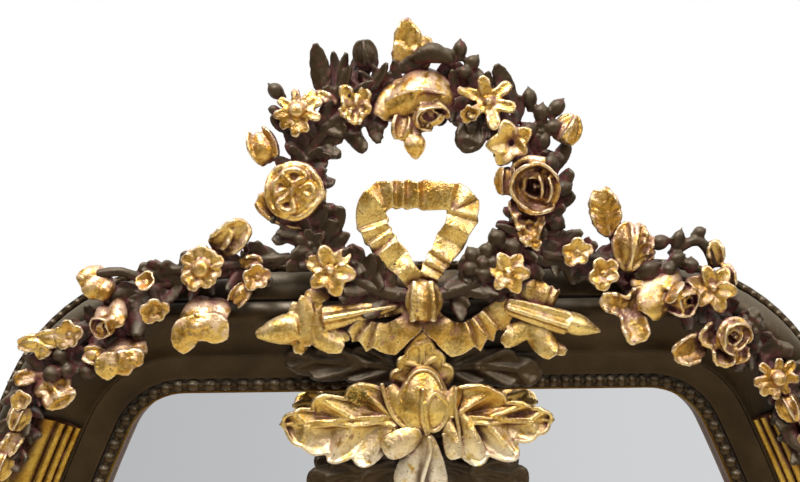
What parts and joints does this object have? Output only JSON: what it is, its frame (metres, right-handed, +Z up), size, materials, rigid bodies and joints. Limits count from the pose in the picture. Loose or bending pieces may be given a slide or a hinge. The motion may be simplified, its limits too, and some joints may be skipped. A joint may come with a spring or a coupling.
{
  "type": "crested wall mirror",
  "caption": "Wall mirror in a dark moulded frame with bowed sides, a gilded crest of flower wreath, ribbon, torch and quiver, side garlands and ring hangers behind.",
  "frame": {"origin": "middle of the bottom rail's back face, on the plane that lies against the wall", "axes": "+X to the viewer's right, +Y to the back into the wall, +Z up"},
  "size_m": [0.991, 0.1097, 1.5133],
  "materials": {
    "bronzed_wood": "satin dark bronze",
    "bronzed_compo": "satin dark bronze paint",
    "gilding": "worn gold leaf over red bole",
    "silvered_glass": "polished",
    "pine_board": "raw aged pine",
    "black_iron": "forged",
    "aged_brass": "aged",
    "steel_screw": "dull"
  },
  "bodies": {
    "mirror": {"backboard": "pine_board", "backing_leaves_lower": "bronzed_compo", "backing_leaves_upper": "bronzed_compo", "bottom_rail": "bronzed_wood", "corner_bottom_left": "bronzed_wood", "corner_bottom_right": "bronzed_wood", "corner_top_left": "bronzed_wood", "corner_top_right": "bronzed_wood", "crest_leaf": "gilding", "crest_leaf_bud": "gilding", "crest_stay_left": "black_iron", "crest_stay_right": "black_iron", "garland_buds_left": "gilding", "garland_buds_right": "gilding", "garland_daisies_left": "gilding", "garland_daisies_right": "gilding", "garland_dark_leaves_left": "bronzed_compo", "garland_dark_leaves_right": "bronzed_compo", "garland_gold_leaves_left": "gilding", "garland_gold_leaves_right": "gilding", "garland_lilies_left": "gilding", "garland_lilies_right": "gilding", "garland_roses_left": "gilding", "garland_roses_right": "gilding", "garland_stem_left": "bronzed_compo", "garland_stem_right": "bronzed_compo", "hanger_plate_left": "aged_brass", "hanger_plate_right": "aged_brass", "inner_bead_strips": "bronzed_wood", "mirror_glass": "silvered_glass", "outer_bead_strips": "bronzed_wood", "quiver": "gilding", "rebate_blocks": "pine_board", "reeding_left": "gilding", "reeding_right": "gilding", "ribbon_knot": "gilding", "ribbon_loop": "gilding", "ribbon_tails_left": "gilding", "ribbon_tails_right": "gilding", "stile_left": "bronzed_wood", "stile_right": "bronzed_wood", "top_rail": "bronzed_wood", "torch": "gilding", "wood_screws": "steel_screw", "wreath_bell_flowers": "gilding", "wreath_berries": "bronzed_compo", "wreath_branch_left": "bronzed_compo", "wreath_branch_right": "bronzed_compo", "wreath_buds": "gilding", "wreath_daisy": "gilding", "wreath_drops": "gilding", "wreath_leaves_left": "bronzed_compo", "wreath_leaves_right": "bronzed_compo", "wreath_rose_left": "gilding", "wreath_rose_right": "gilding", "wreath_rose_top": "gilding", "wreath_small_flowers": "gilding", "wreath_top_leaf": "gilding"},
    "left_ring": {"hanger_ring_left": "aged_brass"},
    "right_ring": {"hanger_ring_right": "aged_brass"}
  },
  "joints": [
    {"name": "left_ring_swing", "type": "hinge", "parent": "mirror", "child": "left_ring", "pos_m": [-0.42541, -0.0052, 0.79532], "axis": [1, 0, 0], "range_deg": [0, 175]},
    {"name": "right_ring_swing", "type": "hinge", "parent": "mirror", "child": "right_ring", "pos_m": [0.42541, -0.0052, 0.79532], "axis": [1, 0, 0], "range_deg": [0, 175]}
  ]
}
